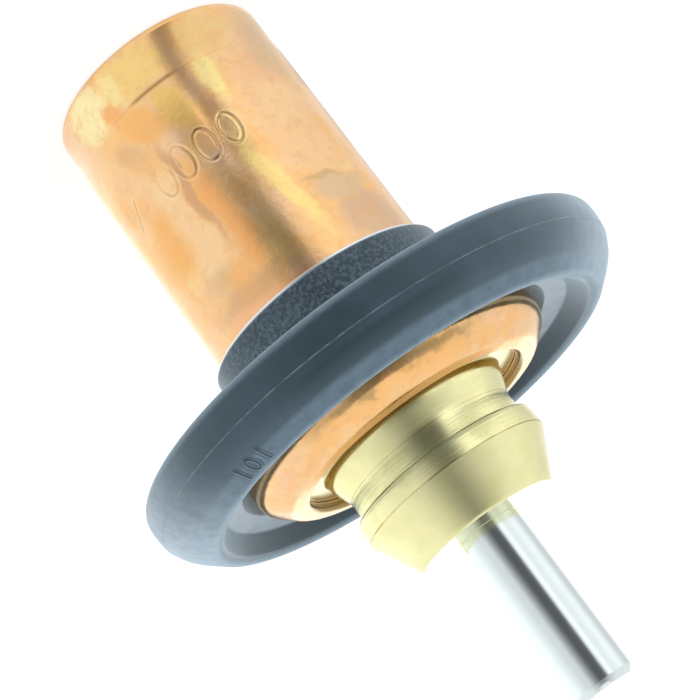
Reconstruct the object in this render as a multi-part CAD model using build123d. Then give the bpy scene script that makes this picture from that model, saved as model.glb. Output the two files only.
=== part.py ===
"""Engine thermostat insert: a wax element in a copper cup that carries a moulded rubber valve.

Every piece is turned about the Z axis. Z = 0 is the closed end of the cup and +Z points
out along the pin. Lengths are in millimetres.
"""
from build123d import *
from math import atan2, cos, radians, sin, tan
import os

# Copper cup: bulb, shoulder and the rim rolled over the guide.
bulb_radius = 11.25
cup_wall = 1.0
bulb_corner = 0.9
end_band_height = 5.4
end_band_step = 0.12
shoulder_height = 37.9
shoulder_fillet = 0.8
flange_radius = 15.75
flange_back_corner = 1.0
flange_front_corner = 2.0
roll_edge_rise = 3.4
roll_angle = 41.5
roll_break_radius = 13.55
roll_break_round = 1.8
lip_angle = 8.0
lip_radius = 11.65
lip_edge = 0.45

# Diaphragm and guide, clamped inside the rolled rim.
diaphragm_thickness = 0.9
clamp_clearance = 0.05
gap_floor_drop = 0.05
gap_floor_fillet = 0.3
neck_foot_radius = 9.6
neck_step_radius = 9.5
neck_step_rise = 0.93
neck_cone_rise = 2.0
neck_round = 2.5
waist_radius = 8.68
waist_rise = 5.15
collar_radius = 9.4
collar_edge = 0.1
flare_radius = 9.55
flare_rise = 2.0
nose_radius = 7.1
nose_rise = 4.78
nose_chamfer = 0.12

# Bore, throat and what works in them.
pin_radius = 3.0
bore_clearance = 0.03
bore_chamfer = 0.25
throat_radius = 8.2
throat_height = 3.0
plug_neck = 0.5
backup_thickness = 0.8
backup_clearance = 0.02
pin_length = 27.9
tip_chamfer_length = 0.7
tip_chamfer_width = 0.45
root_chamfer = 0.3

# Steel valve plate, a sleeve and a flange in one pressing.
sleeve_fit = 0.02
sleeve_wall = 0.6
sleeve_length = 9.3
plate_thickness = 1.0
plate_radius = 21.0
plate_inner_round = 1.0
plate_outer_fillet = 0.8

# Rubber valve, bonded to the plate.
hub_radius = 12.3
hub_setback = 0.3
hub_edge = 0.35
hub_fillet = 1.2
valve_radius = 24.9
back_cover = 1.1
back_corner = 1.2
outer_wall_height = 3.8
outer_round = 4.5
wall_between_rounds = 0.1
crest_radius = 21.4
crest_height = 6.8
crest_round = 1.0
mouth_radius = 20.2
mouth_drop = 0.44
mouth_edge = 0.25
ledge_outer_radius = 18.9
ledge_rise = 2.5
ledge_fillet = 0.5
ledge_fall = 0.4
bore_gap = 1.05
ledge_edge = 0.2

# Heights along the axis that several pieces share.
cup_floor = cup_wall
clamp_height = shoulder_height + cup_wall
guide_base = clamp_height + diaphragm_thickness
throat_top = guide_base + throat_height
backup_base = throat_top + plug_neck
pin_base = backup_base + backup_thickness


# The rolled rim: a steep cone up to a break, then a flat one to the lip, one wall thick.
roll_edge_height = shoulder_height + roll_edge_rise
roll_slope = tan(radians(roll_angle))
lip_slope = tan(radians(lip_angle))
break_height = roll_edge_height + (flange_radius - roll_break_radius) * roll_slope
lip_height = break_height + (roll_break_radius - lip_radius) * lip_slope
break_normal = radians(roll_angle + lip_angle) / 2
break_depth = cup_wall / cos(radians(roll_angle - lip_angle) / 2)
break_inside_radius = roll_break_radius - break_depth * sin(break_normal)
break_inside_height = break_height - break_depth * cos(break_normal)
lip_inside_height = break_inside_height + (break_inside_radius - lip_radius) * lip_slope


def roll_inside(radius):
    """Height of the steep cone's inner face at a radius."""
    return break_inside_height - (radius - break_inside_radius) * roll_slope


def turned(corners):
    """Revolve a closed outline about Z. Each corner is (radius, height, rounding)."""
    points = [(radius, height) for radius, height, rounding in corners]
    roundings = [rounding for radius, height, rounding in corners]
    with BuildPart() as piece:
        with BuildSketch(Plane.XZ):
            with BuildLine():
                FilletPolyline(*points, radius=roundings, close=True)
            make_face()
        revolve(axis=Axis.Z)
    return piece.part


def wax_cup():
    band_radius = bulb_radius - end_band_step
    inner_corner = max(bulb_corner - cup_wall, 0)
    bulb_inside = bulb_radius - cup_wall
    flange_inside = flange_radius - cup_wall
    return turned([
        (0, 0, 0),
        (band_radius, 0, bulb_corner),
        (band_radius, end_band_height, 0),
        (bulb_radius, end_band_height + end_band_step, 0),
        (bulb_radius, shoulder_height, shoulder_fillet),
        (flange_radius, shoulder_height, flange_back_corner),
        (flange_radius, roll_edge_height, flange_front_corner),
        (roll_break_radius, break_height, roll_break_round),
        (lip_radius, lip_height, lip_edge),
        (lip_radius, lip_inside_height, 0),
        (break_inside_radius, break_inside_height, 0),
        (flange_inside, roll_inside(flange_inside), 0),
        (flange_inside, clamp_height, 0),
        (bulb_inside, clamp_height, 0),
        (bulb_inside, cup_floor, inner_corner),
        (0, cup_floor, 0),
    ])


def wax_charge():
    inner_corner = max(bulb_corner - cup_wall, 0)
    wax_radius = bulb_radius - cup_wall
    return turned([
        (0, cup_floor, 0),
        (wax_radius, cup_floor, inner_corner),
        (wax_radius, clamp_height, 0),
        (0, clamp_height, 0),
    ])


def diaphragm():
    rim_radius = flange_radius - cup_wall - clamp_clearance
    return turned([
        (0, clamp_height, 0),
        (rim_radius, clamp_height, 0),
        (rim_radius, guide_base, 0),
        (0, guide_base, 0),
    ])


def guide():
    bore_radius = pin_radius + bore_clearance
    rim_radius = flange_radius - cup_wall - clamp_clearance
    under_break = break_inside_height - gap_floor_drop
    under_break_radius = break_inside_radius + gap_floor_drop / roll_slope
    floor_height = lip_inside_height - gap_floor_drop
    step_height = floor_height + neck_step_rise
    waist_height = floor_height + waist_rise
    flare_height = waist_height + flare_rise
    nose_height = flare_height + nose_rise
    return turned([
        (throat_radius, guide_base, 0),
        (rim_radius, guide_base, 0),
        (rim_radius, roll_inside(rim_radius), 0),
        (under_break_radius, under_break, 0),
        (lip_radius, floor_height, 0),
        (neck_foot_radius, floor_height, gap_floor_fillet),
        (neck_step_radius, step_height, 0),
        (waist_radius, step_height + neck_cone_rise, neck_round),
        (waist_radius, waist_height, 0),
        (collar_radius, waist_height, collar_edge),
        (flare_radius, flare_height, 0),
        (nose_radius, nose_height - nose_chamfer, 0),
        (nose_radius - nose_chamfer, nose_height, 0),
        (bore_radius + bore_chamfer, nose_height, 0),
        (bore_radius, nose_height - bore_chamfer, 0),
        (bore_radius, throat_top, 0),
    ])


def rubber_plug():
    bore_radius = pin_radius + bore_clearance
    return turned([
        (0, guide_base, 0),
        (throat_radius, guide_base, 0),
        (bore_radius, throat_top, 0),
        (bore_radius, backup_base, 0),
        (0, backup_base, 0),
    ])


def backup_disc():
    disc_radius = pin_radius + bore_clearance - backup_clearance
    return turned([
        (0, backup_base, 0),
        (disc_radius, backup_base, 0),
        (disc_radius, pin_base, 0),
        (0, pin_base, 0),
    ])


def piston_pin():
    pin_top = pin_base + pin_length
    return turned([
        (0, pin_base, 0),
        (pin_radius - root_chamfer, pin_base, 0),
        (pin_radius, pin_base + root_chamfer, 0),
        (pin_radius, pin_top - tip_chamfer_length, 0),
        (pin_radius - tip_chamfer_width, pin_top, 0),
        (0, pin_top, 0),
    ])


def valve_plate():
    sleeve_inside = bulb_radius + sleeve_fit
    sleeve_outside = sleeve_inside + sleeve_wall
    sleeve_end = shoulder_height - sleeve_length
    plate_back = shoulder_height - plate_thickness
    return turned([
        (sleeve_inside, sleeve_end, 0),
        (sleeve_outside, sleeve_end, 0),
        (sleeve_outside, plate_back, plate_outer_fillet),
        (plate_radius, plate_back, 0),
        (plate_radius, shoulder_height, 0),
        (sleeve_inside, shoulder_height, plate_inner_round),
    ])


def valve_rubber():
    sleeve_outside = bulb_radius + sleeve_fit + sleeve_wall
    hub_end = shoulder_height - sleeve_length + hub_setback
    plate_back = shoulder_height - plate_thickness
    ring_back = plate_back - back_cover
    crest_top = ring_back + crest_height
    mouth_height = crest_top - mouth_drop
    ledge_height = shoulder_height + ledge_rise
    well_radius = flange_radius + bore_gap
    front_turn = atan2(valve_radius - crest_radius, crest_height - outer_wall_height)
    wall_left = outer_wall_height - back_corner - wall_between_rounds
    front_round = min(outer_round, wall_left / tan(front_turn / 2))
    return turned([
        (sleeve_outside, hub_end, 0),
        (hub_radius, hub_end, hub_edge),
        (hub_radius, ring_back, hub_fillet),
        (valve_radius, ring_back, back_corner),
        (valve_radius, ring_back + outer_wall_height, front_round),
        (crest_radius, crest_top, crest_round),
        (mouth_radius, mouth_height, mouth_edge),
        (ledge_outer_radius, ledge_height, ledge_fillet),
        (well_radius, ledge_height - ledge_fall, ledge_edge),
        (well_radius, shoulder_height, 0),
        (plate_radius, shoulder_height, 0),
        (plate_radius, plate_back, 0),
        (sleeve_outside, plate_back, plate_outer_fillet),
    ])


pieces = {
    "wax_cup": wax_cup,
    "wax_charge": wax_charge,
    "diaphragm": diaphragm,
    "guide": guide,
    "rubber_plug": rubber_plug,
    "backup_disc": backup_disc,
    "piston_pin": piston_pin,
    "valve_plate": valve_plate,
    "valve_rubber": valve_rubber,
}

os.makedirs("parts", exist_ok=True)
for name, make in pieces.items():
    export_step(make(), f"parts/{name}.step")
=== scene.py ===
from math import ceil, cos, pi, radians, sin, tan

import bmesh
import bpy
from mathutils import Matrix, Vector
from mathutils.kdtree import KDTree
from mathutils.noise import noise as roll


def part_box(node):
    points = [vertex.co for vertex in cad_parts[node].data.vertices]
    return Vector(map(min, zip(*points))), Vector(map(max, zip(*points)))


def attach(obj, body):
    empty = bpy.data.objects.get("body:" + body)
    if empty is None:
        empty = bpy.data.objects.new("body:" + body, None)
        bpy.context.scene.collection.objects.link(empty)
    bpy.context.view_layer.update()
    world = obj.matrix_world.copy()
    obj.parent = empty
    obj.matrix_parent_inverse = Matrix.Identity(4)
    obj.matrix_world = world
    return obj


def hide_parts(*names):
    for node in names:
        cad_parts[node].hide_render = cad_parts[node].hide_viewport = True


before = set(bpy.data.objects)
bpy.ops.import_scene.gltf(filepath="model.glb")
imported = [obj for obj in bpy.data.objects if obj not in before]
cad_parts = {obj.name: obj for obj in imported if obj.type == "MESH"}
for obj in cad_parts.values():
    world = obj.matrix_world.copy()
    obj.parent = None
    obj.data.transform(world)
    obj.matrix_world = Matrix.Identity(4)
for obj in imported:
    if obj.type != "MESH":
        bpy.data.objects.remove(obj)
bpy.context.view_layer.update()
scene = bpy.context.scene
scene.view_settings.view_transform = "Standard"
mm = 0.001  # sizes in the dictionaries are millimetres
weld = 0.002 * mm  # points nearer than this become one


def lowOf(node):
    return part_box(node)[0].z / mm


def highOf(node):
    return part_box(node)[1].z / mm


def radiusOf(node):
    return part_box(node)[1].x / mm


# the camera stands on the -Y side and is rolled, so that the pin points down to the right
view = {
    "elevation": 16.1705,  # degrees above the plane of the valve ring
    "roll": 53.506,  # degrees
    "distance": 188.703,
    "lens": 105.568,  # on a film 36 wide
    "aimHeight": 36.49,
    "aimOnFilm": (1.2254, 1.1887),  # where that height falls, right and down of the film's middle
    "film": 36,
    "clipNear": 10,
}


def placeCamera():
    lens = bpy.data.cameras.new("camera")
    lens.sensor_width = view["film"]
    lens.lens = view["lens"]
    lens.clip_start = view["clipNear"] * mm
    holder = bpy.data.objects.new("camera", lens)
    scene.collection.objects.link(holder)
    scene.camera = holder
    rise, roll = radians(view["elevation"]), radians(view["roll"])
    # the part's own axes and its origin, as the camera sees them
    up = Vector((cos(rise) * cos(roll), -cos(rise) * sin(roll), sin(rise)))
    near = (Vector((0, 0, 1)) - up * up.z).normalized()
    across, down = view["aimOnFilm"]
    aim = Vector((across / view["lens"], -down / view["lens"], -1)) * view["distance"] * mm
    origin = aim - up * view["aimHeight"] * mm
    seen = Matrix((near, up.cross(near), up))
    place = seen.to_4x4()
    place.translation = seen @ -origin
    holder.matrix_world = Matrix.Rotation(-pi / 2, 4, "Z") @ place


placeCamera()


# short ways to add nodes

def put(tree, kind, values=None, **settings):
    # a value may be a number, a colour or another node's output
    made = tree.nodes.new(kind)
    for key, value in settings.items():
        setattr(made, key, value)
    for key, value in (values or {}).items():
        if isinstance(value, bpy.types.NodeSocket):
            tree.links.new(value, made.inputs[key])
        else:
            made.inputs[key].default_value = value
    return made


def calc(tree, operation, first, second=0.0, third=0.0, clamp=False):
    values = {0: first, 1: second, 2: third}
    return put(tree, "ShaderNodeMath", values, operation=operation, use_clamp=clamp).outputs[0]


def times(tree, first, *others):
    for other in others:
        first = calc(tree, "MULTIPLY", first, other)
    return first


def awayFrom(tree, value, middle):
    return calc(tree, "ABSOLUTE", calc(tree, "SUBTRACT", value, middle))


def ramp(tree, value, fromLow, fromHigh, toLow=0.0, toHigh=1.0, smooth=True):
    values = {"Value": value, "From Min": fromLow, "From Max": fromHigh, "To Min": toLow, "To Max": toHigh}
    curve = "SMOOTHSTEP" if smooth else "LINEAR"
    return put(tree, "ShaderNodeMapRange", values, interpolation_type=curve).outputs[0]


# outlines of turned pieces
facetTurn = radians(12)  # the most that one facet of an arc turns


def arcAt(before, corner, after, rounding, facet):
    # the points of the arc that rounds one corner
    toBefore = (before - corner).normalized()
    toAfter = (after - corner).normalized()
    half = toBefore.angle(toAfter) / 2
    centre = corner + (toBefore + toAfter).normalized() * (rounding / sin(half))
    start = corner + toBefore * (rounding / tan(half)) - centre
    end = corner + toAfter * (rounding / tan(half)) - centre
    turn = start.angle(end)
    if start.x * end.y < start.y * end.x:
        turn = -turn
    count = max(2, ceil(abs(turn) * rounding / facet), ceil(abs(turn) / facetTurn))
    points = []
    for i in range(count + 1):
        angle = turn * i / count
        points.append(centre + Vector((start.x * cos(angle) - start.y * sin(angle),
                                       start.x * sin(angle) + start.y * cos(angle))))
    return points


def outline(corners, step, facet=0.12, closed=True):
    # corners are (radius, height) or (radius, height, rounding); step(point) limits the straight runs
    places = [Vector(corner[:2]) for corner in corners]
    rounded = []
    for i, corner in enumerate(corners):
        if len(corner) > 2 and corner[2]:
            rounded += arcAt(places[i - 1], places[i], places[(i + 1) % len(places)], corner[2], facet)
        else:
            rounded.append(places[i])
    if closed:
        rounded.append(rounded[0])
    points = [rounded[0]]
    for start, end in zip(rounded, rounded[1:]):
        count = max(1, ceil((end - start).length / step((start + end) / 2)))
        points += [start.lerp(end, (i + 1) / count) for i in range(count)]
    return points


# one Geometry Nodes tree turns an outline round the axis

def turningTree():
    tree = bpy.data.node_groups.new("turn round the axis", "GeometryNodeTree")
    sockets = {}
    for name, kind in (("Outline", "Geometry"), ("Columns", "Int"), ("Fine start", "Float"),
                       ("Fine width", "Float"), ("Fine share", "Float"), ("Material", "Material")):
        sockets[name] = tree.interface.new_socket(name, in_out="INPUT", socket_type="NodeSocket" + kind)
    tree.interface.new_socket("Piece", in_out="OUTPUT", socket_type="NodeSocketGeometry")
    given = put(tree, "NodeGroupInput").outputs
    position = put(tree, "GeometryNodeInputPosition").outputs[0]
    rows = put(tree, "GeometryNodeAttributeDomainSize", {"Geometry": given["Outline"]},
               component="MESH").outputs["Point Count"]
    grid = put(tree, "GeometryNodeMeshGrid", {
        "Size X": 1.0, "Size Y": 1.0, "Vertices Y": rows,
        "Vertices X": calc(tree, "ADD", given["Columns"], 1)})
    spot = put(tree, "ShaderNodeSeparateXYZ", {0: position}).outputs
    share = calc(tree, "ADD", spot["X"], 0.5)
    row = calc(tree, "ROUND", calc(tree, "MULTIPLY", calc(tree, "ADD", spot["Y"], 0.5),
                                   calc(tree, "SUBTRACT", rows, 1)))
    # the fine part of the turn takes more than its share of the columns
    fine = ramp(tree, share, 0.0, given["Fine share"], 0.0, given["Fine width"], smooth=False)
    rest = ramp(tree, share, given["Fine share"], 1.0, 0.0,
                calc(tree, "SUBTRACT", 2 * pi, given["Fine width"]), smooth=False)
    angle = calc(tree, "ADD", calc(tree, "ADD", given["Fine start"], fine), rest)
    onOutline = put(tree, "GeometryNodeSampleIndex", {
        "Geometry": given["Outline"], "Value": position, "Index": row}, data_type="FLOAT_VECTOR").outputs[0]
    reach = put(tree, "ShaderNodeSeparateXYZ", {0: onOutline}).outputs
    # angles count from the -Y side, towards -X
    turned = put(tree, "ShaderNodeCombineXYZ", {
        "X": calc(tree, "MULTIPLY", reach["X"], calc(tree, "MULTIPLY", calc(tree, "SINE", angle), -1)),
        "Y": calc(tree, "MULTIPLY", reach["X"], calc(tree, "MULTIPLY", calc(tree, "COSINE", angle), -1)),
        "Z": reach["Z"]}).outputs[0]
    shaped = put(tree, "GeometryNodeSetPosition", {"Geometry": grid.outputs["Mesh"], "Position": turned})
    merged = put(tree, "GeometryNodeMergeByDistance", {"Geometry": shaped.outputs[0], "Distance": weld})
    smooth = put(tree, "GeometryNodeSetShadeSmooth", {"Geometry": merged.outputs[0]})
    real = put(tree, "GeometryNodeRealizeInstances", {"Geometry": smooth.outputs[0]})
    dressed = put(tree, "GeometryNodeSetMaterial", {
        "Geometry": real.outputs[0], "Material": given["Material"]})
    put(tree, "NodeGroupOutput", {"Piece": dressed.outputs[0]})
    return tree, {name: socket.identifier for name, socket in sockets.items()}


turning, turningInputs = turningTree()


def turnPiece(name, points, material, columns=256, fineStart=0.0, fineWidth=0.0, fineShare=0.0, shape=None):
    mesh = bpy.data.meshes.new(name)
    mesh.from_pydata([(p.x * mm, 0, p.y * mm) for p in points],
                     [(i, i + 1) for i in range(len(points) - 1)], [])
    raw = bpy.data.objects.new(name + "Outline", mesh)
    scene.collection.objects.link(raw)
    change = raw.modifiers.new("turn", "NODES")
    change.node_group = turning
    for key, value in (("Columns", columns), ("Fine start", fineStart), ("Fine width", fineWidth),
                       ("Fine share", fineShare), ("Material", material)):
        change[turningInputs[key]] = value
    seen = raw.evaluated_get(bpy.context.evaluated_depsgraph_get())
    result = bpy.data.meshes.new_from_object(seen)
    raw.modifiers.remove(change)
    bpy.data.objects.remove(raw)
    return finishPiece(name, result, shape)


def finishPiece(name, mesh, shape, sharp=32):
    work = bmesh.new()
    work.from_mesh(mesh)
    bmesh.ops.dissolve_degenerate(work, dist=weld / 2, edges=work.edges)
    bmesh.ops.recalc_face_normals(work, faces=work.faces)
    work.to_mesh(mesh)
    work.free()
    mesh.set_sharp_from_angle(angle=radians(sharp))
    if shape:
        shape(mesh)
    piece = bpy.data.objects.new(name, mesh)
    scene.collection.objects.link(piece)
    print(name, len(mesh.polygons), "faces")
    return piece


# colours and finishes read the piece's own coordinates, in millimetres and degrees round the axis

def turnAbout(finish):
    # degrees from the -Y side towards -X
    tree, spot = finish["tree"], finish["spot"]
    return calc(tree, "MULTIPLY", calc(tree, "ARCTAN2", calc(tree, "MULTIPLY", spot["X"], -1),
                                       calc(tree, "MULTIPLY", spot["Y"], -1)), 180 / pi)


def blendOf(tree, share, first, second):
    values = {0: share, 2: first, 3: second}
    return put(tree, "ShaderNodeMix", values, data_type="FLOAT").outputs[0]


def startFinish(name):
    material = bpy.data.materials.new(name)
    material.use_nodes = True
    tree = material.node_tree
    place = put(tree, "ShaderNodeTexCoord").outputs["Object"]
    spot = put(tree, "ShaderNodeSeparateXYZ", {0: put(
        tree, "ShaderNodeVectorMath", {0: place, "Scale": 1 / mm}, operation="SCALE").outputs[0]}).outputs
    reach = calc(tree, "SQRT", calc(tree, "ADD", calc(tree, "MULTIPLY", spot["X"], spot["X"]),
                                    calc(tree, "MULTIPLY", spot["Y"], spot["Y"])))
    finish = {"material": material, "tree": tree, "shader": tree.nodes["Principled BSDF"], "place": place,
              "spot": spot, "reach": reach, "height": spot["Z"]}
    finish["turn"] = turnAbout(finish)
    return finish


def noise(finish, size, detail=4.0, rough=0.55, stretch=(1, 1, 1), distortion=0.0):
    # size is the grain's own size in millimetres
    tree = finish["tree"]
    moved = put(tree, "ShaderNodeMapping", {"Vector": finish["place"], "Scale": stretch})
    return put(tree, "ShaderNodeTexNoise", {
        "Vector": moved.outputs[0], "Scale": 1 / (size * mm), "Detail": detail, "Roughness": rough,
        "Distortion": distortion}).outputs["Fac"]


def tint(finish, share, first, second):
    # share 0 gives the first colour, 1 the second
    mixed = put(finish["tree"], "ShaderNodeMix", {"Factor": share}, data_type="RGBA")
    for i, colour in ((6, first), (7, second)):
        if isinstance(colour, bpy.types.NodeSocket):
            finish["tree"].links.new(colour, mixed.inputs[i])
        else:
            mixed.inputs[i].default_value = (*colour, 1)
    return mixed.outputs[2]


def patch(finish, turn, height, halfTurn, halfHeight, lean=0.0, soft=0.5, wobble=None, amount=0.6):
    # a soft spot on a turned wall, 1 in its middle; lean turns it so many degrees a millimetre
    tree = finish["tree"]
    above = calc(tree, "SUBTRACT", finish["height"], height)
    across = calc(tree, "SUBTRACT", calc(tree, "SUBTRACT", finish["turn"], turn),
                  calc(tree, "MULTIPLY", above, lean))
    across = calc(tree, "DIVIDE", calc(tree, "WRAP", across, 180, -180), halfTurn)
    along = calc(tree, "DIVIDE", above, halfHeight)
    far = calc(tree, "SQRT", calc(tree, "ADD", calc(tree, "MULTIPLY", across, across),
                                  calc(tree, "MULTIPLY", along, along)))
    if wobble is not None:
        far = calc(tree, "ADD", far, calc(tree, "MULTIPLY", calc(tree, "SUBTRACT", wobble, 0.5), amount))
    return ramp(tree, far, 1 + soft, 1 - soft)


def mottle(finish, colour, grain, low, high, strength, stain):
    share = ramp(finish["tree"], noise(finish, **grain), low, high)
    return tint(finish, times(finish["tree"], share, strength), colour, stain)


def bump(finish, height, depth, strength=1.0, under=None):
    # depth is in millimetres
    values = {"Strength": strength, "Distance": depth * mm, "Height": height}
    if under is not None:
        values["Normal"] = under
    return put(finish["tree"], "ShaderNodeBump", values).outputs[0]


def stampMask(finish):
    # above 0 in a stroke, below 0 on its edges
    return put(finish["tree"], "ShaderNodeAttribute", attribute_name="stamp",
               attribute_type="GEOMETRY").outputs["Fac"]


def send(finish, socket, value):
    # a varying value is linked, a plain one is set
    target = finish["shader"].inputs[socket]
    if isinstance(value, bpy.types.NodeSocket):
        finish["tree"].links.new(value, target)
    else:
        target.default_value = value


copperMarks = {
    # tarnish stains mixed with painted reflections and highlights; turn, height, half turn, half height,
    # lean, softness, colour, strength
    "stainsAndReflections": [
        (-65, 4.5, 12, 2.5, 0, 0.60, (1.00, 0.70, 0.50), 0.60),
        (42, 14, 15, 7.8, 0, 0.20, (0.98, 0.63, 0.34), 0.80),  # peach lobe to the left, a painted reflection
        (42, 8, 9, 1.6, 0, 0.60, (0.98, 0.56, 0.30), 0.60),
        (46, 12.5, 8, 2.4, 0, 0.60, (0.99, 0.69, 0.37), 0.60),
        (50, 26.2, 18, 2.6, 0, 0.30, (0.68, 0.46, 0.31), 0.75),  # dull foot under it
        (45, 22.5, 14.5, 1.35, 0, 0.30, (0.70, 0.54, 0.36), 0.65),  # grey leaf between them
        (38, 21.1, 10, 0.35, 0, 0.50, (0.55, 0.40, 0.20), 0.55),
        (55, 20.7, 4, 0.5, 0, 0.60, (1.00, 0.72, 0.30), 0.60),
        (64, 5.0, 14, 5.0, 0, 0.70, (0.72, 0.55, 0.38), 0.55),
        (-31, 18, 9.5, 6.5, 0, 0.20, (0.98, 0.68, 0.38), 0.80),  # pale lobe to the right, a painted reflection
        (-45, 21.7, 7, 1.6, 0, 0.40, (0.98, 0.69, 0.33), 0.70),
        (-43, 17.8, 8.5, 3.2, 0, 0.60, (0.96, 0.50, 0.16), 0.75),
        (-18.5, 15.8, 2.8, 5.8, -0.1, 0.45, (0.70, 0.40, 0.21), 0.85),  # brown streak beside it, a painted dark reflection
        (-10.5, 20, 5.8, 5.8, 0, 0.35, (0.97, 0.47, 0.165), 0.85),  # orange as far as the dark band
        (1, 24.2, 6, 2.4, 0, 0.80, (0.86, 0.68, 0.28), 0.50),
        (4, 15.3, 5, 1.4, 0, 0.60, (0.90, 0.62, 0.42), 0.50),
        (-1.5, 8.4, 6.5, 2.6, 0, 0.35, (0.96, 0.62, 0.18), 0.85),  # olive patch above the stamped rings
        (12.2, 6, 3.6, 4.6, 0, 0.50, (0.96, 0.62, 0.36), 0.60),
        (21.5, 7.8, 5.5, 2.8, 0, 0.40, (0.98, 0.82, 0.33), 0.85),  # yellow beside the dark streak, a painted highlight
        (14, 13, 5.5, 2.0, 0, 0.50, (0.99, 0.74, 0.36), 0.60),
        (18.5, 20, 4.4, 5.8, 0.8, 0.40, (1.00, 0.76, 0.28), 0.85),
        (-40, 2.9, 15, 2.3, 0, 0.35, (1.00, 0.87, 0.46), 0.90),  # the end band
        (-8, 2.9, 17, 2.3, 0, 0.30, (0.97, 0.69, 0.24), 0.80),
        (-20, 3.0, 4.5, 1.7, 0, 0.50, (1.00, 0.82, 0.38), 0.80),
        (32, 3.0, 15, 2.3, 0, 0.30, (0.88, 0.62, 0.27), 0.75),
        (36, 4.0, 6, 1.0, 0, 0.50, (0.94, 0.53, 0.24), 0.60),
        (-29, 4.2, 4.5, 0.9, 0, 0.50, (0.96, 0.46, 0.16), 0.90),
        (-18, 7.6, 9, 2.4, 3, 0.35, (0.97, 0.51, 0.17), 0.80),
        (-32, 8.7, 6, 1.4, 2, 0.70, (0.76, 0.46, 0.23), 0.65),
        (-32, 24.3, 9, 1.2, 0, 0.90, (0.68, 0.46, 0.24), 0.60),
        (-22, 24.9, 7, 1.3, 0, 0.50, (0.97, 0.50, 0.18), 0.60),
        (-24, 26.7, 22, 1.2, 0, 0.50, (0.70, 0.41, 0.21), 0.70),
        (-20, 28.2, 30, 0.8, 0, 0.50, (0.96, 0.50, 0.27), 0.60),
        (8, 41.4, 32, 0.6, 0, 0.50, (0.44, 0.29, 0.12), 0.80),  # painted reflection of the dark rubber on the flange's outer corner in front
        (0, 42.3, 60, 0.5, 0, 0.60, (0.97, 0.52, 0.18), 0.60),
        (150, 14, 28, 6, 0, 0.35, (0.78, 0.44, 0.20), 0.50),  # round the back
        (-120, 22, 20, 4, 0, 0.35, (0.98, 0.68, 0.42), 0.50),
        (112, 24, 16, 3, 0, 0.50, (0.56, 0.42, 0.24), 0.55),
    ],
    "wander": [("turn", {"size": 4.2, "detail": 5, "rough": 0.6}, 14),
               ("height", {"size": 3.6, "detail": 5, "rough": 0.6}, 3.4)], "ragged": 0.8,
    "clouds": {"size": 5.0, "detail": 5}, "wobble": {"size": 1.6, "detail": 5, "rough": 0.7},
    "fine": {"size": 0.6, "detail": 4}, "drawn": {"size": 0.4, "detail": 3, "stretch": (1, 1, 0.05)},
    "waves": {"size": 7.0, "detail": 2, "rough": 0.4, "stretch": (1, 1, 0.5)},
    "plain": ((0.965, 0.56, 0.225), (0.975, 0.64, 0.33)), "plainFrom": (0.38, 0.66),
    # grain, low, high, strength, colour: under the stains and painted reflections and over them
    "under": [
        ({"size": 3.4, "detail": 5, "rough": 0.6, "distortion": 0.6}, 0.50, 0.66, 0.55,
         (0.98, 0.63, 0.42))],
    "over": [({"size": 1.6, "detail": 6, "rough": 0.65}, 0.52, 0.70, 0.45, (0.90, 0.47, 0.19)),
             ({"size": 1.1, "detail": 6, "rough": 0.7}, 0.48, 0.68, 0.30, (0.70, 0.46, 0.26))],
    # the end band's step gets a painted shade line
    "endLine": 5.45, "endLineSoft": (0.40, 0.05, 0, 0.75), "lineShown": (-4, 5.4, 12.5, 6, 0, 0.3),
    "lineShadeColour": (0.40, 0.24, 0.09),
    # painted shade on the rounded corner of the closed end
    "corner": (1.0, 0.0, 0, 0.55), "cornerShadeColour": (0.45, 0.30, 0.16),
    # the flat of the lip: dull in front, polished at its sides and painted darker there as a reflection,
    # with painted shade on its inner edge
    "flatReach": (13.4, 13.0), "flatFrom": (43.0, 43.2), "flatSides": (40, 65), "flatShare": 0.8,
    "flatColours": ((0.98, 0.58, 0.24), (0.50, 0.36, 0.13)), "flatRough": (0.35, 0.0),
    "edgeReach": (12.0, 11.8, 0, 0.85), "edgeFrom": (42.4, 42.8), "edgeShadeColour": (0.30, 0.20, 0.07),
    "strokeDark": (0.25, 0.9, 0, 0.4), "strokeDarkColour": (0.38, 0.24, 0.10),
    "strokePale": (-0.1, -0.8, 0, 0.5), "strokePaleColour": (1.0, 0.80, 0.50),
    "rough": (0.3, 0.7, 0.13, 0.22), "roughFine": (0.4, 0.7, -0.02, 0.05),
    # depth and strength of the finest relief
    "drawnBump": (0.006, 0.5), "wobbleBump": (0.05, 0.5), "wavesBump": (0.5, 0.5),
}


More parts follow.
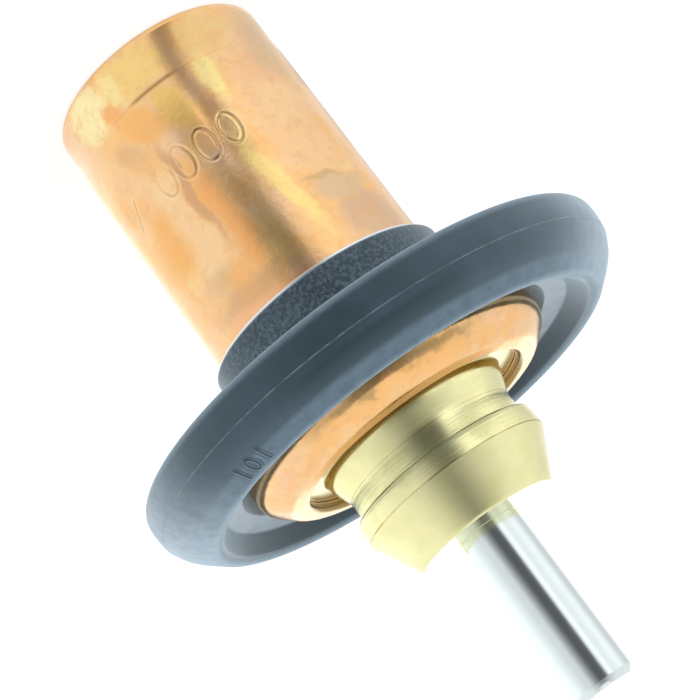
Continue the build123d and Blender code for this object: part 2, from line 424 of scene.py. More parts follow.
def copperFinish(name):
    finish, m = startFinish(name), copperMarks
    tree, reach, height = finish["tree"], finish["reach"], finish["height"]
    clouds, wobble = noise(finish, **m["clouds"]), noise(finish, **m["wobble"])
    colour = tint(finish, ramp(tree, clouds, *m["plainFrom"]), *m["plain"])
    for patches in m["under"]:
        colour = mottle(finish, colour, *patches)
    # the outlines of the stains and painted reflections wander
    astray = dict(finish)
    for key, grain, amount in m["wander"]:
        wander = times(tree, calc(tree, "SUBTRACT", noise(finish, **grain), 0.5), amount)
        astray[key] = calc(tree, "ADD", finish[key], wander)
    # tarnish stains together with painted reflections and highlights
    for *place, stain, strength in m["stainsAndReflections"]:
        mask = patch(astray, *place, wobble, m["ragged"])
        colour = tint(finish, times(tree, mask, strength), colour, stain)
    for patches in m["over"]:
        colour = mottle(finish, colour, *patches)
    # a painted shade line at the step where the end band is drawn in, only on part of the turn
    line = ramp(tree, awayFrom(tree, height, m["endLine"]), *m["endLineSoft"])
    colour = tint(finish, times(tree, line, patch(finish, *m["lineShown"])), colour, m["lineShadeColour"])
    # painted shade on the rounded corner of the closed end
    colour = tint(finish, ramp(tree, height, *m["corner"]), colour, m["cornerShadeColour"])
    # the flat of the lip is painted darker at its sides as a reflection
    flat = times(tree, ramp(tree, reach, *m["flatReach"]), ramp(tree, height, *m["flatFrom"]))
    side = ramp(tree, calc(tree, "ABSOLUTE", finish["turn"]), *m["flatSides"])
    flatColour = tint(finish, side, *m["flatColours"])
    colour = tint(finish, times(tree, flat, m["flatShare"]), colour, flatColour)
    # painted shade on the lip's inner edge, down towards the gap
    edge = times(tree, ramp(tree, reach, *m["edgeReach"]), ramp(tree, height, *m["edgeFrom"]))
    colour = tint(finish, edge, colour, m["edgeShadeColour"])
    # the stamped strokes are painted darker and their edges paler
    stamp = stampMask(finish)
    colour = tint(finish, ramp(tree, stamp, *m["strokeDark"]), colour, m["strokeDarkColour"])
    colour = tint(finish, ramp(tree, stamp, *m["strokePale"]), colour, m["strokePaleColour"])
    send(finish, "Base Color", colour)
    send(finish, "Metallic", 1.0)
    fine = ramp(tree, noise(finish, **m["fine"]), *m["roughFine"])
    rough = calc(tree, "ADD", ramp(tree, clouds, *m["rough"]), fine)
    rough = calc(tree, "ADD", rough, times(tree, flat, blendOf(tree, side, *m["flatRough"])))
    send(finish, "Roughness", rough)
    normal = bump(finish, noise(finish, **m["waves"]), *m["wavesBump"])
    normal = bump(finish, wobble, *m["wobbleBump"], normal)
    send(finish, "Normal", bump(finish, noise(finish, **m["drawn"]), *m["drawnBump"], normal))
    return finish["material"]


brassMarks = {
    "clouds": {"size": 3.0, "detail": 4}, "rings": {"size": 0.25, "detail": 3, "stretch": (0.02, 0.02, 1)},
    "wide": {"size": 0.7, "detail": 3, "rough": 0.6, "stretch": (0.06, 0.06, 1)},
    "plain": ((0.93, 0.89, 0.49), (0.86, 0.83, 0.43)), "plainFrom": (0.35, 0.7),
    # painted shade at the foot of the neck, in the gap inside the lip
    "foot": (42.8, 43.2, 0.6, 0), "footShadeColour": (0.42, 0.34, 0.15),
    # thin painted shade lines at the ledge and the edges of the turning: height, half width, strength
    "lines": [(47.62, 0.09, 0.90), (49.60, 0.08, 0.75), (45.45, 0.07, 0.35)],
    "lineShadeColour": (0.36, 0.27, 0.07), "lineReach": (8.2, 8.5), "lineFaint": 0.4, "lineBroken": (0.30, 0.60),
    "rough": (0.3, 0.7, 0.16, 0.26), "ringsBump": (0.02, 0.5), "wideBump": (0.05, 0.5),
}


def brassFinish(name):
    finish, m = startFinish(name), brassMarks
    tree, reach, height = finish["tree"], finish["reach"], finish["height"]
    clouds = noise(finish, **m["clouds"])
    colour = tint(finish, ramp(tree, clouds, *m["plainFrom"]), *m["plain"])
    # painted shade at the foot of the neck, in the gap inside the lip
    colour = tint(finish, ramp(tree, height, *m["foot"]), colour, m["footShadeColour"])
    # painted shade lines along the ledge and edges
    for line, half, deep in m["lines"]:
        seam = times(tree, ramp(tree, awayFrom(tree, height, line), half, half / 2),
                     ramp(tree, clouds, *m["lineBroken"], m["lineFaint"] * deep, deep),
                     ramp(tree, reach, *m["lineReach"]))
        colour = tint(finish, seam, colour, m["lineShadeColour"])
    send(finish, "Base Color", colour)
    send(finish, "Metallic", 1.0)
    send(finish, "Roughness", ramp(tree, clouds, *m["rough"]))
    normal = bump(finish, noise(finish, **m["wide"]), *m["wideBump"])
    send(finish, "Normal", bump(finish, noise(finish, **m["rings"]), *m["ringsBump"], normal))
    return finish["material"]


steelMarks = {
    "clouds": {"size": 2.0, "detail": 4}, "ground": {"size": 0.2, "detail": 3, "stretch": (0.05, 0.05, 1)},
    "dim": 0.92, "cloudsFrom": (0.3, 0.7), "roughBelow": 0.03, "roughAbove": 0.04,
    "groundBump": (0.004, 0.4),
    "ground steel": ((0.80, 0.88, 0.89), 0.10), "pressed steel": ((0.84, 0.87, 0.88), 0.24),
}


def steelFinish(name, colour, rough):
    finish, m = startFinish(name), steelMarks
    tree = finish["tree"]
    clouds = noise(finish, **m["clouds"])
    send(finish, "Base Color", tint(finish, clouds, colour, tuple(m["dim"] * part for part in colour)))
    send(finish, "Metallic", 1.0)
    limits = rough - m["roughBelow"], rough + m["roughAbove"]
    send(finish, "Roughness", ramp(tree, clouds, *m["cloudsFrom"], *limits))
    send(finish, "Normal", bump(finish, noise(finish, **m["ground"]), *m["groundBump"]))
    return finish["material"]


rubberMarks = {
    "clouds": {"size": 5.0, "detail": 5}, "speck": {"size": 0.36, "detail": 5, "rough": 0.65},
    "grime": {"size": 1.4, "detail": 5, "rough": 0.65},
    "plain": ((0.026, 0.045, 0.060), (0.038, 0.064, 0.086)), "plainFrom": (0.35, 0.7),
    "sheen": 0.92, "sheenRough": 0.5, "sheenColour": (0.68, 0.86, 1.0, 1),
    "level": 0.45, "shine": (0.66, 0.86, 1.0, 1),
    # a painted dark reflection: the dark band beside the dusty front
    "paintedDarkBand": 23.75, "darkBandSoft": (0.9, 0.375), "darkBandTurn": 5, "darkBandEnds": (26, 13),
    "darkBandFrom": (39.2, 40.0), "darkBandColour": (0.016, 0.030, 0.040),
    # pale specks on the hub, more of them towards the ring
    "hubReach": (13.4, 12.5), "hubPaler": (31.0, 35.0, 0.35, 1.0), "hubSpeck": (0.44, 0.60, 0.10, 1),
    "hubColour": (0.27, 0.34, 0.39),
    # dust on the ring's sloping front, and painted highlights with dust on its back corner and its crest
    "back": (36.9, 36.2, 0, 0.6), "backReach": (23.0, 24.2), "frontFrom": (40.6, 41.0),
    "slope": (23.15, 22.6, 0.0, 0.42), "crest": (21.9, 21.3, 0.0, 0.35), "crestFrom": (20.4, 20.8),
    "dustBroken": (0.34, 0.62, 0.65, 1.05), "dustAndHighlight": (0.19, 0.28, 0.36),
    # painted sheen: paler to the sides, fading towards the back
    "sheenEnds": [(-36, -78, 0, 0.80), (48, 84, 0, 0.60)], "endsFade": (92, 125, 1.0, 0.3),
    "outside": (20.6, 21.4), "endsBroken": (0.32, 0.60, 0.6, 1.0), "paintedPaleColour": (0.40, 0.50, 0.58),
    # inside the mouth: painted light on a pale ledge and painted shade on a dark wall
    "mouth": (19.9, 20.3), "ledge": (40.7, 40.45, 0, 0.65), "ledgeReach": (16.6, 16.9),
    "ledgeBroken": (0.32, 0.60, 0.7, 1.0), "wall": 41.3, "wallSoft": (0.95, 0.65),
    "wallReach": (18.6, 18.9), "wallShadeColour": (0.018, 0.030, 0.038),
    # the raised marks are dark, the parting line pale and broken
    "marks": (0.1, 0.8, 0, 0.85), "marksColour": (0.010, 0.020, 0.028),
    "parting": (-0.1, -0.8), "partingBroken": (0.42, 0.60, 0.15, 0.8), "partingColour": (0.15, 0.19, 0.22),
    "rough": (0.3, 0.7, 0.28, 0.38), "dustRough": 0.5, "speckBump": (0.02, 0.4), "grimeBump": (0.02, 0.3),
}


def rubberFinish(name):
    finish, m = startFinish(name), rubberMarks
    tree, reach, height, turn = finish["tree"], finish["reach"], finish["height"], finish["turn"]
    clouds, speck, grime = (noise(finish, **m[key]) for key in ("clouds", "speck", "grime"))
    colour = tint(finish, ramp(tree, clouds, *m["plainFrom"]), *m["plain"])
    # painted dark reflection on the front's round
    paintedDarkBand = times(tree, ramp(tree, awayFrom(tree, reach, m["paintedDarkBand"]), *m["darkBandSoft"]),
                  ramp(tree, awayFrom(tree, turn, m["darkBandTurn"]), *m["darkBandEnds"]),
                  ramp(tree, height, *m["darkBandFrom"]))
    colour = tint(finish, paintedDarkBand, colour, m["darkBandColour"])
    # painted highlights on the back corner and crest, dust on the sloping front
    back = times(tree, ramp(tree, height, *m["back"]), ramp(tree, reach, *m["backReach"]))
    front = calc(tree, "ADD", ramp(tree, reach, *m["slope"]), ramp(tree, reach, *m["crest"]))
    front = times(tree, front, ramp(tree, height, *m["frontFrom"]), ramp(tree, reach, *m["crestFrom"]))
    dustAndHighlight = times(tree, calc(tree, "ADD", back, front), ramp(tree, grime, *m["dustBroken"]))
    colour = tint(finish, dustAndHighlight, colour, m["dustAndHighlight"])
    hub = times(tree, ramp(tree, reach, *m["hubReach"]), ramp(tree, height, *m["hubPaler"]),
                ramp(tree, speck, *m["hubSpeck"]))
    colour = tint(finish, hub, colour, m["hubColour"])
    outside = times(tree, ramp(tree, reach, *m["outside"]),
                    ramp(tree, calc(tree, "ABSOLUTE", turn), *m["endsFade"]))
    # painted sheen, paler towards the sides
    for limits in m["sheenEnds"]:
        end = times(tree, ramp(tree, turn, *limits), outside, ramp(tree, grime, *m["endsBroken"]))
        colour = tint(finish, end, colour, m["paintedPaleColour"])
    # painted light on the ledge inside the mouth
    mouth = calc(tree, "SUBTRACT", 1, ramp(tree, reach, *m["mouth"]))
    ledge = times(tree, ramp(tree, height, *m["ledge"]), ramp(tree, reach, *m["ledgeReach"]), mouth,
                  ramp(tree, grime, *m["ledgeBroken"]))
    colour = tint(finish, ledge, colour, m["paintedPaleColour"])
    # painted shade on the wall inside the mouth
    wall = times(tree, ramp(tree, awayFrom(tree, height, m["wall"]), *m["wallSoft"]), mouth,
                 ramp(tree, reach, *m["wallReach"]))
    colour = tint(finish, wall, colour, m["wallShadeColour"])
    stamp = stampMask(finish)
    colour = tint(finish, ramp(tree, stamp, *m["marks"]), colour, m["marksColour"])
    parting = times(tree, ramp(tree, stamp, *m["parting"]), ramp(tree, grime, *m["partingBroken"]))
    colour = tint(finish, parting, colour, m["partingColour"])
    send(finish, "Base Color", colour)
    send(finish, "Roughness", calc(tree, "ADD", ramp(tree, clouds, *m["rough"]),
                                   times(tree, dustAndHighlight, m["dustRough"])))
    send(finish, "Specular IOR Level", m["level"])
    send(finish, "Specular Tint", m["shine"])
    send(finish, "Sheen Weight", m["sheen"])
    send(finish, "Sheen Roughness", m["sheenRough"])
    send(finish, "Sheen Tint", m["sheenColour"])
    normal = bump(finish, grime, *m["grimeBump"])
    send(finish, "Normal", bump(finish, speck, *m["speckBump"], normal))
    return finish["material"]


copper = copperFinish("drawnCopper")
brass = brassFinish("turnedBrass")
pinSteel = steelFinish("groundSteel", *steelMarks["ground steel"])
plateSteel = steelFinish("pressedSteel", *steelMarks["pressed steel"])
valveRubber = rubberFinish("valveRubber")

# plain stamped and moulded marks: strokes as points (across, up) in a box 1 high, and that box's middle
markMiddle = (0.3, 0.5)


def ringMark(halfWidth=0.28, count=36):
    across, up = markMiddle
    angles = [2 * pi * i / count for i in range(count + 1)]
    return [(across + halfWidth * cos(angle), up + up * sin(angle)) for angle in angles]


strokesOf = {
    "ring": ringMark(),
    "bar": [(0.3, 1.0), (0.3, 0.0)],
    "slash": [(0.50, 1.0), (0.10, 0.0)],
}


def markPoints(marks, radius, step=0.03):
    # each mark is its kind, turn, middle along the wall, size and lean; gives points (across, along) in mm,
    # with the tops of the marks towards the closed end
    points = []
    for kind, turn, middle, size, lean in marks:
        for (x1, y1), (x2, y2) in zip(strokesOf[kind], strokesOf[kind][1:]):
            count = max(1, ceil(((x2 - x1) ** 2 + (y2 - y1) ** 2) ** 0.5 * size / step))
            for i in range(count + 1):
                across = (x1 + (x2 - x1) * i / count - markMiddle[0]) * size
                up = (y1 + (y2 - y1) * i / count - markMiddle[1]) * size
                turned = Vector((across, up)) @ Matrix.Rotation(radians(lean), 2)
                points.append((radius * radians(turn) + turned.x, middle - turned.y))
    return points


def stampAt(strokes, across, along, mark):
    # how deep the groove is at a place, and how high its pushed-up lip, both 0 to 1
    away = strokes.find((across, along, 0))[2]
    return 1 - easy(away / mark["half"]), 1 - easy(abs(away - mark["lipPlace"]) / mark["lipHalf"])


def turnOf(vertex):
    return Vector((0, -1)).angle_signed(Vector(vertex.co[:2]))


def treeOf(points):
    tree = KDTree(len(points))
    for i, (across, height) in enumerate(points):
        tree.insert((across, height, 0), i)
    tree.balance()
    return tree


def easy(share):
    share = min(1.0, max(0.0, share))
    return share * share * (3 - 2 * share)


# the wax cup: a deep-drawn copper cup, flared at its mouth and rolled over the guide
cup = {
    "wall": 1.0, "cornerRound": 0.9, "bandHeight": 5.4, "bandStep": 0.12,
    "shoulder": 37.9, "shoulderFillet": 0.8,
    "flangeRadius": radiusOf("wax_cup"), "flangeWidth": 4.5, "flangeBack": 1.0, "flangeFront": 2.0,
    "rollStart": 41.3,
    "rollBreak": (13.55, 43.246, 1.8), "lip": (11.65, 43.513, 0.45), "lipInside": (11.65, 42.504),
    "rollInside": (13.113, 42.298), "rollSlope": 41.5, "flangeFloor": 38.9,
    "fineBand": (10.8, 15.9), "fineStep": 0.07, "step": 0.6, "insideStep": 2.0,
    # mark, turn, height, size, lean
    "stamps": [("slash", -52.0, 13.2, 2.9, 8), ("ring", -25.3, 13.3, 3.2, -4),
               ("ring", -12.6, 13.1, 3.4, -3), ("ring", 0.6, 13.2, 3.4, 0), ("ring", 14.1, 13.0, 3.2, 2)],
    "stampMark": {"half": 0.22, "lipPlace": 0.31, "lipHalf": 0.11}, "stampDepth": 0.045, "stampLip": 0.008,
    # how far apart the deeper and fainter parts of the strokes are, their usual depth and its change
    "stampFaint": 2.2, "stampWorn": (0.75, 0.5),
    # size and depth of the shallow waves in the wall
    "waves": [(9.0, 0.030), (4.0, 0.010)], "wavesFrom": (3.1, 0.4, 7.7), "waveFade": 1.5, "waveMargin": 1.0,
}
cup["radius"] = cup["flangeRadius"] - cup["flangeWidth"]


def shapeCup(mesh):
    c = cup
    strokes = treeOf(markPoints(c["stamps"], c["radius"]))
    low, high = c["fineBand"]
    stamped = mesh.attributes.new("stamp", "FLOAT", "POINT")
    for vertex in mesh.vertices:
        place = vertex.co / mm
        reach = place.xy.length
        if abs(reach - c["radius"] + c["bandStep"] / 2) > c["bandStep"] or place.z > c["shoulder"]:
            continue
        fade = easy(place.z / c["waveFade"])
        fade *= easy((c["shoulder"] - c["waveMargin"] - place.z) / c["waveFade"])
        move = 0
        for size, depth in c["waves"]:
            move -= depth * fade * (0.5 + 0.5 * roll(place / size + Vector(c["wavesFrom"])))
        if low < place.z < high:
            groove, lip = stampAt(strokes, c["radius"] * turnOf(vertex), place.z, c["stampMark"])
            worn = c["stampWorn"][0] + c["stampWorn"][1] * roll(place / c["stampFaint"])
            move += (c["stampLip"] * lip - c["stampDepth"] * groove) * worn
            stamped.data[vertex.index].value = (groove - lip) * worn
        vertex.co += Vector((place.x, place.y, 0)).normalized() * move * mm


def cupOutline():
    c = cup
    inside = c["radius"] - c["wall"]
    rollX, rollY = c["rollInside"]
    endX = c["flangeRadius"] - c["wall"]
    rollEnd = rollY - (endX - rollX) * tan(radians(c["rollSlope"]))
    band = c["radius"] - c["bandStep"]
    low, high = c["fineBand"]
    corners = [
        (0, 0), (band, 0, c["cornerRound"]), (band, c["bandHeight"]),
        (c["radius"], c["bandHeight"] + c["bandStep"]), (c["radius"], low), (c["radius"], high),
        (c["radius"], c["shoulder"], c["shoulderFillet"]),
        (c["flangeRadius"], c["shoulder"], c["flangeBack"]),
        (c["flangeRadius"], c["rollStart"], c["flangeFront"]),
        c["rollBreak"], c["lip"], c["lipInside"], c["rollInside"], (endX, rollEnd),
        (endX, c["flangeFloor"]), (inside, c["flangeFloor"]), (inside, c["wall"]), (0, c["wall"])]

    def step(point):
        if point.x > inside + c["wall"] / 2 and low < point.y < high:
            return c["fineStep"]
        return c["step"] if point.x > inside + c["wall"] / 2 else c["insideStep"]
    return outline(corners, step, closed=False)


waxCup = turnPiece("waxCup", cupOutline(), copper, columns=370, fineStart=radians(-62),
                   fineWidth=radians(90), fineShare=0.68, shape=shapeCup)
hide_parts("wax_cup")
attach(waxCup, "element")

# the guide: turned brass, held by the rolled lip of the cup
guide = {
    "foot": lowOf("guide"), "throat": (8.2, 3.0), "bore": 3.03, "boreChamfer": 0.12,
    "seatRadius": 14.7, "seatBreak": (13.17, 42.248), "floor": (11.65, 42.454),
    "neckFoot": (9.6, 42.454, 0.3),
    "neckStep": (9.5, 43.384), "waist": (8.68, 45.384, 2.5), "ledge": (8.68, 47.604, 0.15),
    "collar": (9.4, 47.604, 0.1), "flare": (9.55, 49.604),
    "nose": (7.1, highOf("guide") - 0.12), "noseTop": (6.98, highOf("guide")), "step": 0.5,
}


def guideOutline():
    g = guide
    throat, rise = g["throat"]
    top = highOf("guide")
    breakX, breakY = g["seatBreak"]
    seatY = breakY - (g["seatRadius"] - breakX) * tan(radians(cup["rollSlope"]))
    corners = [
        (throat, g["foot"]), (g["seatRadius"], g["foot"]), (g["seatRadius"], seatY), g["seatBreak"],
        g["floor"], g["neckFoot"], g["neckStep"], g["waist"], g["ledge"], g["collar"], g["flare"],
        g["nose"], g["noseTop"],
        (g["bore"] + g["boreChamfer"], top), (g["bore"], top - g["boreChamfer"]),
        (g["bore"], g["foot"] + rise)]
    return outline(corners, lambda point: g["step"])


pinGuide = turnPiece("pinGuide", guideOutline(), brass, columns=288)
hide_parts("guide")
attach(pinGuide, "element")

# the pin: ground steel, the only piece that slides
pin = {"radius": radiusOf("piston_pin"), "low": lowOf("piston_pin"), "high": highOf("piston_pin"),
       "rootChamfer": 0.3, "tipChamfer": (0.45, 0.7), "tipRound": 0.15, "step": 0.6, "facet": 0.04}


def pinOutline():
    p = pin
    inward, down = p["tipChamfer"]
    corners = [
        (0, p["low"]), (p["radius"] - p["rootChamfer"], p["low"]),
        (p["radius"], p["low"] + p["rootChamfer"]),
        (p["radius"], p["high"] - down, p["tipRound"]), (p["radius"] - inward, p["high"], p["tipRound"]),
        (0, p["high"])]
    return outline(corners, lambda point: p["step"], p["facet"], closed=False)


steelPin = turnPiece("steelPin", pinOutline(), pinSteel, columns=160)
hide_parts("piston_pin")
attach(steelPin, "piston")

# the pressed plate under the rubber; only its sleeve's rim shows
plate = {"inside": 11.27, "outside": 11.87, "low": lowOf("valve_plate"), "rimRound": 0.12,
         "under": 36.9, "top": highOf("valve_plate"), "radius": radiusOf("valve_plate"),
         "innerRound": 1.0, "outerFillet": 0.8, "step": 0.8, "facet": 0.06}


def plateOutline():
    p = plate
    corners = [
        (p["outside"], p["low"], p["rimRound"]), (p["outside"], p["under"], p["outerFillet"]),
        (p["radius"], p["under"]), (p["radius"], p["top"]), (p["inside"], p["top"], p["innerRound"]),
        (p["inside"], p["low"], p["rimRound"])]
    return outline(corners, lambda point: p["step"], p["facet"])


steelPlate = turnPiece("steelPlate", plateOutline(), plateSteel, columns=256)
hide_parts("valve_plate")
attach(steelPlate, "element")

# the moulded valve ring and its hub
ring = {
    "hubInside": 11.87, "hubEnd": lowOf("valve_rubber"), "hub": 12.3, "hubEdge": 0.35, "hubFillet": 1.2,
    "back": 35.8, "boxRoom": 0.01, "backCorner": 1.2, "wallEnd": 39.6,
    "frontRound": 4.5, "crest": (21.4, 42.6, 1.0),
    "mouth": (20.2, 42.16, 0.25), "ledgeOuter": (18.9, 40.4, 0.5), "ledgeInner": (16.8, 40.0, 0.2),
    "well": (16.8, 37.9), "plateTop": (21.0, 37.9), "plateUnder": (21.0, 36.9), "sleeveFillet": 0.8,
    "step": 0.7, "fineStep": 0.08,
    # the thin line left where the mould's halves met
    "parting": 39.0, "partingNear": 23.9, "roundDrop": 1.4, "flashOut": 0.05, "flashHalf": 0.1,
    "flashStep": 0.03, "flashMargin": 0.3,
    # raised marks on the sloping front: mark, turn, how far inward from their middle, size, lean
    "marksReach": 22.45, "marksHalf": 0.85,
    "marks": [("bar", -37.9, 0.0, 1.5, 0), ("ring", -34.0, 0.0, 1.5, 0), ("bar", -30.1, 0.0, 1.5, 0)],
    "markEdge": {"half": 0.22, "lipPlace": 0.30, "lipHalf": 0.10}, "markHeight": 0.12,
}
# the widest line stays just inside the solid
ring["radius"] = radiusOf("valve_rubber") - ring["boxRoom"]


def ringSlope():
    # the straight line of the sloping front: its direction inward and its outward normal
    start, end = Vector((ring["radius"], ring["wallEnd"])), Vector(ring["crest"][:2])
    inward = (end - start).normalized()
    middle = start + inward * (start.x - ring["marksReach"]) / -inward.x
    return middle, inward, Vector((inward.y, -inward.x))


def ringOutline():
    r = ring
    middle, inward, _ = ringSlope()
    corners = [
        (r["hubInside"], r["hubEnd"]), (r["hub"], r["hubEnd"], r["hubEdge"]),
        (r["hub"], r["back"], r["hubFillet"]),
        (r["radius"], r["back"], r["backCorner"]), (r["radius"], r["wallEnd"], r["frontRound"]),
        tuple(middle - inward * r["marksHalf"]), r["crest"], r["mouth"],
        r["ledgeOuter"], r["ledgeInner"], r["well"], r["plateTop"], r["plateUnder"],
        (r["hubInside"], r["plateUnder"][1], r["sleeveFillet"])]

    def step(point):
        if point.x > r["partingNear"] and abs(point.y - r["parting"]) < r["flashMargin"]:
            return r["flashStep"]
        return r["fineStep"] if (point - middle).length < r["marksHalf"] else r["step"]
    return outline(corners, step)


def shapeRing(mesh):
    r = ring
    middle, inward, outward = ringSlope()
    roundMiddle = Vector((r["radius"] - r["frontRound"], r["parting"] - r["roundDrop"]))
    strokes = treeOf(markPoints(r["marks"], r["marksReach"]))
    stamped = mesh.attributes.new("stamp", "FLOAT", "POINT")
    for vertex in mesh.vertices:
        reach, height = vertex.co.xy.length / mm, vertex.co.z / mm
        move = Vector((0, 0))
        if reach > r["partingNear"] and abs(height - r["parting"]) < r["flashHalf"]:
            flash = 1 - easy(abs(height - r["parting"]) / r["flashHalf"])
            move = (Vector((reach, height)) - roundMiddle).normalized() * flash * r["flashOut"]
            stamped.data[vertex.index].value = -flash
        along = (Vector((reach, height)) - middle).dot(inward)
        if abs(along) < r["marksHalf"] and height > middle.y - r["marksHalf"]:
            raised, edge = stampAt(strokes, r["marksReach"] * turnOf(vertex), along, r["markEdge"])
            move += outward * raised * r["markHeight"]
            stamped.data[vertex.index].value = max(raised, edge)
        sideways = Vector((vertex.co.x, vertex.co.y, 0)).normalized() * move.x
        vertex.co += (sideways + Vector((0, 0, move.y))) * mm


valveRing = turnPiece("valveRing", ringOutline(), valveRubber, columns=440, fineStart=radians(-43),
                      fineWidth=radians(18), fineShare=0.2, shape=shapeRing)
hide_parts("valve_rubber")
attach(valveRing, "element")


# what is inside keeps its own shape
softMarks = {"stain": (0.4, 0.65), "worn": (0.3, 0.7), "rougher": 0.15, "bump": (0.05, 0.4)}


def softInside(name, node, colour, rough, grain, second):
    m = softMarks
    finish = startFinish(name)
    tree = finish["tree"]
    grains = noise(finish, grain)
    send(finish, "Base Color", tint(finish, ramp(tree, grains, *m["stain"]), colour, second))
    send(finish, "Roughness", ramp(tree, grains, *m["worn"], rough, rough + m["rougher"]))
    send(finish, "Normal", bump(finish, grains, *m["bump"]))
    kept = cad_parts[node]
    kept.data.materials.clear()
    kept.data.materials.append(finish["material"])


softInside("filledWax", "wax_charge", (0.45, 0.25, 0.12), 0.5, 0.4, (0.62, 0.38, 0.20))
softInside("diaphragmRubber", "diaphragm", (0.02, 0.02, 0.02), 0.55, 0.8, (0.035, 0.035, 0.035))
softInside("plugRubber", "rubber_plug", (0.02, 0.02, 0.02), 0.5, 0.8, (0.04, 0.04, 0.04))
softInside("whiteDisc", "backup_disc", (0.80, 0.80, 0.78), 0.35, 1.0, (0.86, 0.86, 0.84))
print("pieces made")

# the stage: a pale floor, plain light, and a ring of pale and dark card that only the metal shows
stage = {
    "world": 0.75, "floorHalf": 20.0, "floorColour": 0.8, "shownColour": 0.35, "shownGlow": 0.8,
    "lampGlow": 1.3, "lampSize": 0.6, "lampPlace": (-0.10, -0.16, 0.68),
}
card = {
    "near": 11.8, "far": 600, "lie": 0.2, "top": 1150, "columns": 180,
    # turn from the -Y side towards -X, and how bright the card is there; each of the floor's patterns
    # takes over from the one before between two distances from the axis, and its turns are those of the
    # cup's wall, which sees the card spread out
    "floor": [
        (0, 0, 1.57, [
            (-90, 1.3), (-78, 1.3), (-62, 1.1), (-50, 0.98), (-30, 1.0), (-10, 0.94), (4, 0.92),
            (6.5, 0.80), (8.5, 0.46), (11, 0.38), (13.5, 0.46), (16.5, 0.86), (24, 0.96), (44, 0.92),
            (54, 0.84), (66, 0.84), (76, 0.95), (84, 0.75), (90, 0.55)]),
        (27, 31, 1.73, [
            (-90, 1.4), (-78, 1.3), (-62, 1.05), (-50, 0.98), (-26, 0.94), (-11, 0.88), (-7, 0.60),
            (0, 0.54), (4.2, 0.60), (5.4, 1.02), (7.2, 1.02), (8.6, 0.50), (12, 0.42), (15.5, 0.52),
            (18, 0.98), (22, 1.10), (28, 1.02), (36, 0.97), (54, 0.92), (66, 0.90), (76, 0.97),
            (84, 0.75), (90, 0.55)]),
        (44, 53, 1.86, [
            (-90, 1.45), (-78, 1.3), (-62, 1.05), (-50, 0.98), (-26, 0.95), (-12, 0.90), (-7, 0.72),
            (-3, 0.44), (2, 0.31), (7, 0.32), (9.5, 0.50), (12.5, 0.98), (20, 1.10), (28, 1.02),
            (40, 0.97), (54, 0.94), (66, 0.92), (76, 0.97), (84, 0.75), (90, 0.55)]),
    ],
    "floorEnd": (60, 190), "behind": 1.0,
    "low": [(-180, 1.08), (-134, 1.20), (-117, 1.25), (-88, 1.08), (-58, 0.86), (-39, 0.82), (-29, 0.58),
            (-20, 0.38), (-8, 0.18), (0, 0.12), (14, 0.12), (22, 0.16), (27, 0.45), (31, 0.95), (40, 1.30),
            (49, 1.10), (58, 1.00), (88, 1.16), (104, 1.00), (117, 0.80), (138, 0.76), (160, 0.98),
            (180, 1.08)],
    "high": [(-180, 1.0), (-100, 1.0), (-70, 0.96), (-42, 0.72), (-18, 0.40), (0, 0.25), (19, 0.40),
             (43, 0.68), (71, 0.92), (104, 0.95), (180, 1.0)],
    "wallFoot": 30, "wallHigh": 420,  # between these heights the low pattern gives way to the high one
    # a bright spot behind the part, and the heights between which it comes and goes
    "glare": (180, 24, 2.0), "glareFoot": (60, 120), "glareTop": (330, 260),
    "brightest": 2.0,
}


def ridges(tree, turn, stops):
    # a colour ramp round the axis, from brightness values
    share = ramp(tree, turn, -180, 180, smooth=False)
    band = put(tree, "ShaderNodeValToRGB", {"Fac": share})
    band.color_ramp.interpolation = "LINEAR"
    top = card["brightest"]
    while len(band.color_ramp.elements) < len(stops):
        band.color_ramp.elements.new(0.5)
    for element, (angle, light) in zip(band.color_ramp.elements, stops):
        element.position = (angle + 180) / 360
        element.color = (light / top, light / top, light / top, 1)
    return calc(tree, "MULTIPLY", band.outputs[0], top)


def seenRay(tree):
    # 1 where the camera looks, straight or through metal or glass
    ray = put(tree, "ShaderNodeLightPath").outputs
    return calc(tree, "MAXIMUM", ray["Is Camera Ray"],
                calc(tree, "MAXIMUM", ray["Is Glossy Ray"], ray["Is Transmission Ray"]))


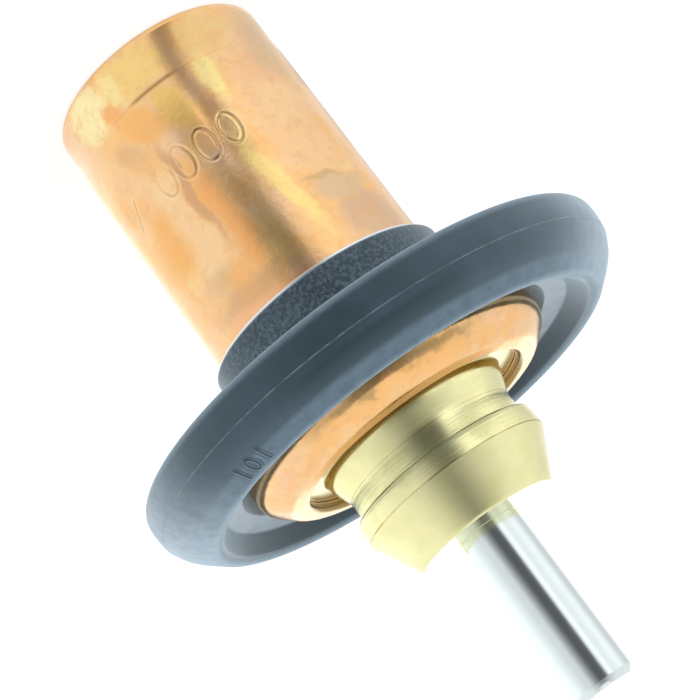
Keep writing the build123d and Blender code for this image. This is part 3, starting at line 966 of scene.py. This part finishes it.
def studio():
    world = bpy.data.worlds.new("studio")
    scene.world = world
    world.use_nodes = True
    tree = world.node_tree
    plain = put(tree, "ShaderNodeBackground", {"Color": (1, 1, 1, 1), "Strength": stage["world"]})
    white = put(tree, "ShaderNodeBackground", {"Color": (1, 1, 1, 1), "Strength": 1.0})
    mixed = put(tree, "ShaderNodeMixShader", {0: seenRay(tree), 1: plain.outputs[0], 2: white.outputs[0]})
    tree.links.new(mixed.outputs[0], tree.nodes["World Output"].inputs["Surface"])

    half = stage["floorHalf"]
    mesh = bpy.data.meshes.new("floor")
    corners = [(-half, -half, 0), (half, -half, 0), (half, half, 0), (-half, half, 0)]
    mesh.from_pydata(corners, [], [(0, 1, 2, 3)])
    floor = bpy.data.objects.new("floor", mesh)
    scene.collection.objects.link(floor)
    paper = bpy.data.materials.new("paper")
    paper.use_nodes = True
    tree = paper.node_tree
    tree.nodes.remove(tree.nodes["Principled BSDF"])
    pale = put(tree, "ShaderNodeBsdfDiffuse", {"Color": (stage["floorColour"],) * 3 + (1,)})
    lit = put(tree, "ShaderNodeBsdfDiffuse", {"Color": (stage["shownColour"],) * 3 + (1,)})
    glow = put(tree, "ShaderNodeEmission", {"Color": (1, 1, 1, 1), "Strength": stage["shownGlow"]})
    both = put(tree, "ShaderNodeAddShader", {0: lit.outputs[0], 1: glow.outputs[0]})
    mixed = put(tree, "ShaderNodeMixShader", {0: seenRay(tree), 1: pale.outputs[0], 2: both.outputs[0]})
    tree.links.new(mixed.outputs[0], tree.nodes["Material Output"].inputs["Surface"])
    floor.data.materials.append(paper)

    lamp = bpy.data.lights.new("lamp", "AREA")
    lamp.size = stage["lampSize"]
    lamp.energy = stage["lampGlow"] * pi * lamp.size ** 2
    holder = bpy.data.objects.new("lamp", lamp)
    scene.collection.objects.link(holder)
    holder.location = stage["lampPlace"]
    holder.visible_glossy = False
    toward = Vector((0, 0, view["aimHeight"] * mm)) - holder.location
    holder.rotation_euler = toward.to_track_quat("-Z", "Y").to_euler()


def reflectedCard():
    near, far, lie, top = (card[key] * mm for key in ("near", "far", "lie", "top"))
    columns = card["columns"]
    points, faces = [], []
    for i in range(columns):
        angle = 2 * pi * i / columns
        for reach, height in ((near, lie), (far, lie), (far, top)):
            points.append((-reach * sin(angle), -reach * cos(angle), height))
    for i in range(columns):
        for j in range(2):
            first, second = i * 3 + j, (i + 1) % columns * 3 + j
            faces.append((first, first + 1, second + 1, second))
    mesh = bpy.data.meshes.new("card")
    mesh.from_pydata(points, [], faces)
    holder = bpy.data.objects.new("card", mesh)
    scene.collection.objects.link(holder)
    finish = startFinish("card")
    tree = finish["tree"]
    tree.nodes.remove(finish["shader"])
    high = ridges(tree, finish["turn"], card["high"])
    low = ridges(tree, finish["turn"], card["low"])
    light = 1.0
    apart = 0.01  # keeps a pattern's two distances apart
    for start, end, spread, stops in card["floor"]:
        stops = [(turn * spread, bright) for turn, bright in stops]
        stops = [(-180, card["behind"])] + stops + [(180, card["behind"])]
        light = blendOf(tree, ramp(tree, finish["reach"], start, end + apart), light,
                        ridges(tree, finish["turn"], stops))
    light = blendOf(tree, ramp(tree, finish["reach"], *card["floorEnd"]), light, low)
    light = blendOf(tree, ramp(tree, finish["height"], card["wallFoot"], card["wallHigh"]), light, high)
    glareTurn, glareHalf, glareLight = card["glare"]
    around = calc(tree, "ABSOLUTE", finish["turn"])
    behind = times(tree, ramp(tree, around, glareTurn - glareHalf, glareTurn - glareHalf / 2),
                   ramp(tree, finish["height"], *card["glareFoot"]),
                   ramp(tree, finish["height"], *card["glareTop"]))
    light = calc(tree, "ADD", light, times(tree, behind, glareLight - 1))
    glow = put(tree, "ShaderNodeEmission", {"Color": (1, 1, 1, 1), "Strength": light})
    tree.links.new(glow.outputs[0], tree.nodes["Material Output"].inputs["Surface"])
    mesh.materials.append(finish["material"])
    holder.visible_camera = False
    holder.visible_diffuse = False
    holder.visible_shadow = False


studio()
reflectedCard()
print("stage set")
